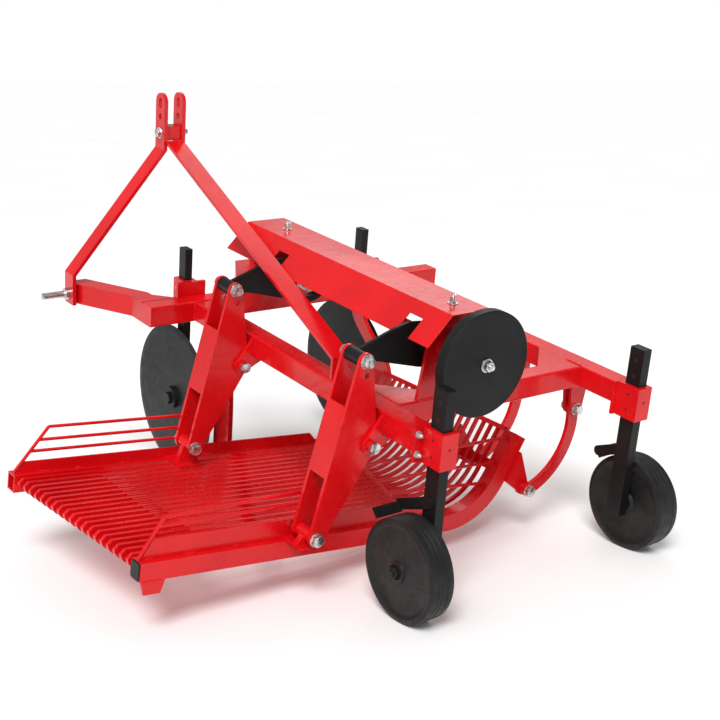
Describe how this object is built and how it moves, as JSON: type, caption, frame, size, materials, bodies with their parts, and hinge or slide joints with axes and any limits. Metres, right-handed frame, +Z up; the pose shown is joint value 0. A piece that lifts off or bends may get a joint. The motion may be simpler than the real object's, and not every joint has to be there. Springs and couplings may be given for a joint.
{
  "type": "vibrating potato digger",
  "caption": "Tractor-mounted vibrating potato digger with a share, coulters, gauge wheels and a shaking sieve bed that throws the crop to one side.",
  "frame": {"origin": "on the floor under the middle of the machine's bounding box, parked on its share's edge and gauge wheels", "axes": "+Z up, -Y towards the tractor (direction of travel), +X to the left of travel, where the bed's comb throws the crop"},
  "size_m": [1.6844, 1.6536, 1.2704],
  "materials": {
    "red": "gloss powder coat",
    "black": "satin black paint",
    "steel": "bright zinc and bare steel",
    "tread": "matt black solid tyre"
  },
  "bodies": {
    "frame": {"front_beam": "red", "left_rail": "red", "right_rail": "red", "rear_cross_tube": "red", "left_hitch_arm": "red", "right_hitch_arm": "red", "left_mast_leg": "red", "right_mast_leg": "red", "lower_pins": "steel", "mast_spacer": "red", "mast_brace": "red", "front_shaft_support": "red", "rear_shaft_support": "red", "drive_cover": "red", "lever_brackets": "red", "disc_posts": "black", "disc_clamps": "red", "left_wheel_post": "black", "right_wheel_post": "black", "wheel_clamps": "red", "share": "red", "share_legs": "red", "strap_brackets": "red"},
    "drive": {"eccentric_shaft": "steel", "flywheel": "black"},
    "front_lever_arm": {"front_lever": "red"},
    "rear_lever_arm": {"rear_lever": "red"},
    "front_rod": {"front_conrod": "black"},
    "rear_rod": {"rear_conrod": "black"},
    "left_disc": {"left_coulter_disc": "black"},
    "right_disc": {"right_coulter_disc": "black"},
    "left_wheel": {"left_gauge_wheel": "tread"},
    "right_wheel": {"right_gauge_wheel": "tread"},
    "bed": {"bed_front_rail": "red", "bed_rear_rail": "red", "bed_floor": "red", "bed_raised_end": "red", "bed_comb": "red", "bed_walls": "red", "bed_front_guard": "red", "bed_rear_guard": "red", "bed_bosses": "red", "bed_lugs": "red"},
    "front_hanger": {"front_strap": "red"},
    "rear_hanger": {"rear_strap": "red"}
  },
  "joints": [
    {"name": "left_wheel_spin", "type": "hinge", "parent": "frame", "child": "left_wheel", "pos_m": [0.16282, 0.68685, 0.14], "axis": [1, 0, 0], "continuous": true},
    {"name": "right_wheel_spin", "type": "hinge", "parent": "frame", "child": "right_wheel", "pos_m": [-0.66818, 0.68685, 0.14], "axis": [1, 0, 0], "continuous": true},
    {"name": "left_disc_spin", "type": "hinge", "parent": "frame", "child": "left_disc", "pos_m": [0.14532, -0.58385, 0.29401], "axis": [1, 0, 0], "continuous": true},
    {"name": "right_disc_spin", "type": "hinge", "parent": "frame", "child": "right_disc", "pos_m": [-0.54968, -0.58385, 0.29401], "axis": [1, 0, 0], "continuous": true},
    {"name": "drive_spin", "type": "hinge", "parent": "frame", "child": "drive", "pos_m": [-0.08318, 0.14657, 0.70405], "axis": [0, 0.9925, -0.1219], "continuous": true},
    {"name": "rear_lever_swing", "type": "hinge", "parent": "frame", "child": "rear_lever_arm", "pos_m": [0.17182, 0.4844, 0.43588], "axis": [0, 0.9925, -0.1219], "range_deg": [-2, 2]},
    {"name": "front_lever_swing", "type": "hinge", "parent": "frame", "child": "front_lever_arm", "pos_m": [0.17182, -0.14884, 0.51363], "axis": [0, 0.9925, -0.1219], "range_deg": [-2, 2]},
    {"name": "bed_shake", "type": "hinge", "parent": "rear_lever_arm", "child": "bed", "pos_m": [0.31782, 0.45503, 0.19667], "axis": [0, 0.9925, -0.1219], "range_deg": [-2, 2]},
    {"name": "front_hanger_swing", "type": "hinge", "parent": "frame", "child": "front_hanger", "pos_m": [-0.62818, 0.23094, 0.40655], "axis": [0, 0.9925, -0.1219], "range_deg": [-2, 2]},
    {"name": "rear_hanger_swing", "type": "hinge", "parent": "frame", "child": "rear_hanger", "pos_m": [-0.62818, 0.46915, 0.3773], "axis": [0, 0.9925, -0.1219], "range_deg": [-2, 2]},
    {"name": "front_rod_swing", "type": "hinge", "parent": "front_lever_arm", "child": "front_rod", "pos_m": [0.19782, -0.12045, 0.74489], "axis": [0, 0.9925, -0.1219], "range_deg": [-1.81, 1.81]},
    {"name": "rear_rod_swing", "type": "hinge", "parent": "rear_lever_arm", "child": "rear_rod", "pos_m": [0.19782, 0.5128, 0.66714], "axis": [0, 0.9925, -0.1219], "range_deg": [-1.81, 1.81]}
  ],
  "couplings": [
    {"joint": "front_lever_swing", "follows": "rear_lever_swing", "ratio": 1},
    {"joint": "bed_shake", "follows": "rear_lever_swing", "ratio": -1},
    {"joint": "front_hanger_swing", "follows": "rear_lever_swing", "ratio": 1},
    {"joint": "rear_hanger_swing", "follows": "rear_lever_swing", "ratio": 1},
    {"joint": "front_rod_swing", "follows": "rear_lever_swing", "ratio": -0.907},
    {"joint": "rear_rod_swing", "follows": "rear_lever_swing", "ratio": -0.907}
  ]
}
